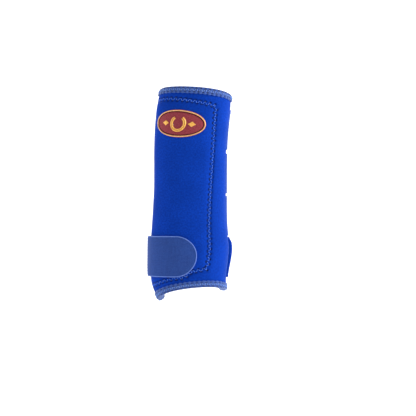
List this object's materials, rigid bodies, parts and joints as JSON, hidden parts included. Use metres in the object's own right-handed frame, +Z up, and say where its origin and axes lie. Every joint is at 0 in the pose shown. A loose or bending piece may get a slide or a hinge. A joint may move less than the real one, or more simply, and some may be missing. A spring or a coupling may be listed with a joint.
{
  "type": "horse tendon boot",
  "caption": "Padded neoprene boot that wraps a horse's lower leg, with folded edge tapes, hook straps down its far side, a round-ended fetlock sling tab and an oval badge.",
  "frame": {"origin": "the middle of the leg's space, halfway up the boot", "axes": "+X the front of the leg, -Y the badge side, +Z up the leg"},
  "size_m": [0.1059, 0.0878, 0.2675],
  "materials": {
    "neoprene": "matt knitted nylon face, royal blue",
    "lining": "matt black, perforated",
    "foam": "matt foam",
    "tape": "ribbed woven tape with a slight sheen",
    "webbing": "matt brushed loop and woven backing",
    "hook": "fine moulded hooks",
    "badge": "matt grained patch, burgundy",
    "gold": "satin gold, raised"
  },
  "bodies": {
    "sleeve": {"outer_shell": "neoprene", "inner_lining": "lining", "splint_pad": "foam", "top_binding": "tape", "bottom_binding": "tape", "rear_edge_binding": "tape", "badge_base": "badge", "badge_rim": "gold", "badge_horseshoe": "gold"},
    "wrap": {"wrap_shell": "neoprene", "wrap_lining": "lining", "wrap_top_binding": "tape", "wrap_bottom_binding": "tape", "wrap_edge_binding": "tape"},
    "upper_strap": {"upper_strap": "webbing", "upper_strap_hook": "hook"},
    "middle_strap": {"middle_strap": "webbing", "middle_strap_hook": "hook"},
    "lower_strap": {"lower_strap": "webbing", "lower_strap_hook": "hook"},
    "fetlock_strap": {"fetlock_strap": "neoprene", "fetlock_strap_hook": "hook"},
    "sling_band": {"sling_band": "neoprene"},
    "sling_tab": {"sling_tab": "webbing", "sling_tab_hook": "hook"}
  },
  "joints": [
    {"name": "wrap_open", "type": "hinge", "parent": "sleeve", "child": "wrap", "pos_m": [0.0535, 0, 0], "axis": [0, 0, -1], "range_deg": [0, 100]},
    {"name": "upper_strap_peel", "type": "hinge", "parent": "wrap", "child": "upper_strap", "pos_m": [0.052, 0.0113, 0.082], "axis": [0, 0, -1], "range_deg": [0, 120]},
    {"name": "middle_strap_peel", "type": "hinge", "parent": "wrap", "child": "middle_strap", "pos_m": [0.0473, 0.0109, 0.027], "axis": [0, 0, -1], "range_deg": [0, 120]},
    {"name": "lower_strap_peel", "type": "hinge", "parent": "wrap", "child": "lower_strap", "pos_m": [0.0487, 0.0118, -0.026], "axis": [0, 0, -1], "range_deg": [0, 120]},
    {"name": "fetlock_strap_peel", "type": "hinge", "parent": "wrap", "child": "fetlock_strap", "pos_m": [0.0507, 0.0123, -0.078], "axis": [0, 0, -1], "range_deg": [0, 120]},
    {"name": "sling_band_lift", "type": "hinge", "parent": "sleeve", "child": "sling_band", "pos_m": [-0.0429, 0.0288, -0.076], "axis": [0, 0, -1], "range_deg": [0, 80]},
    {"name": "sling_tab_peel", "type": "hinge", "parent": "sling_band", "child": "sling_tab", "pos_m": [-0.0532, -0.0026, -0.076], "axis": [0, 0, -1], "range_deg": [0, 110]}
  ]
}
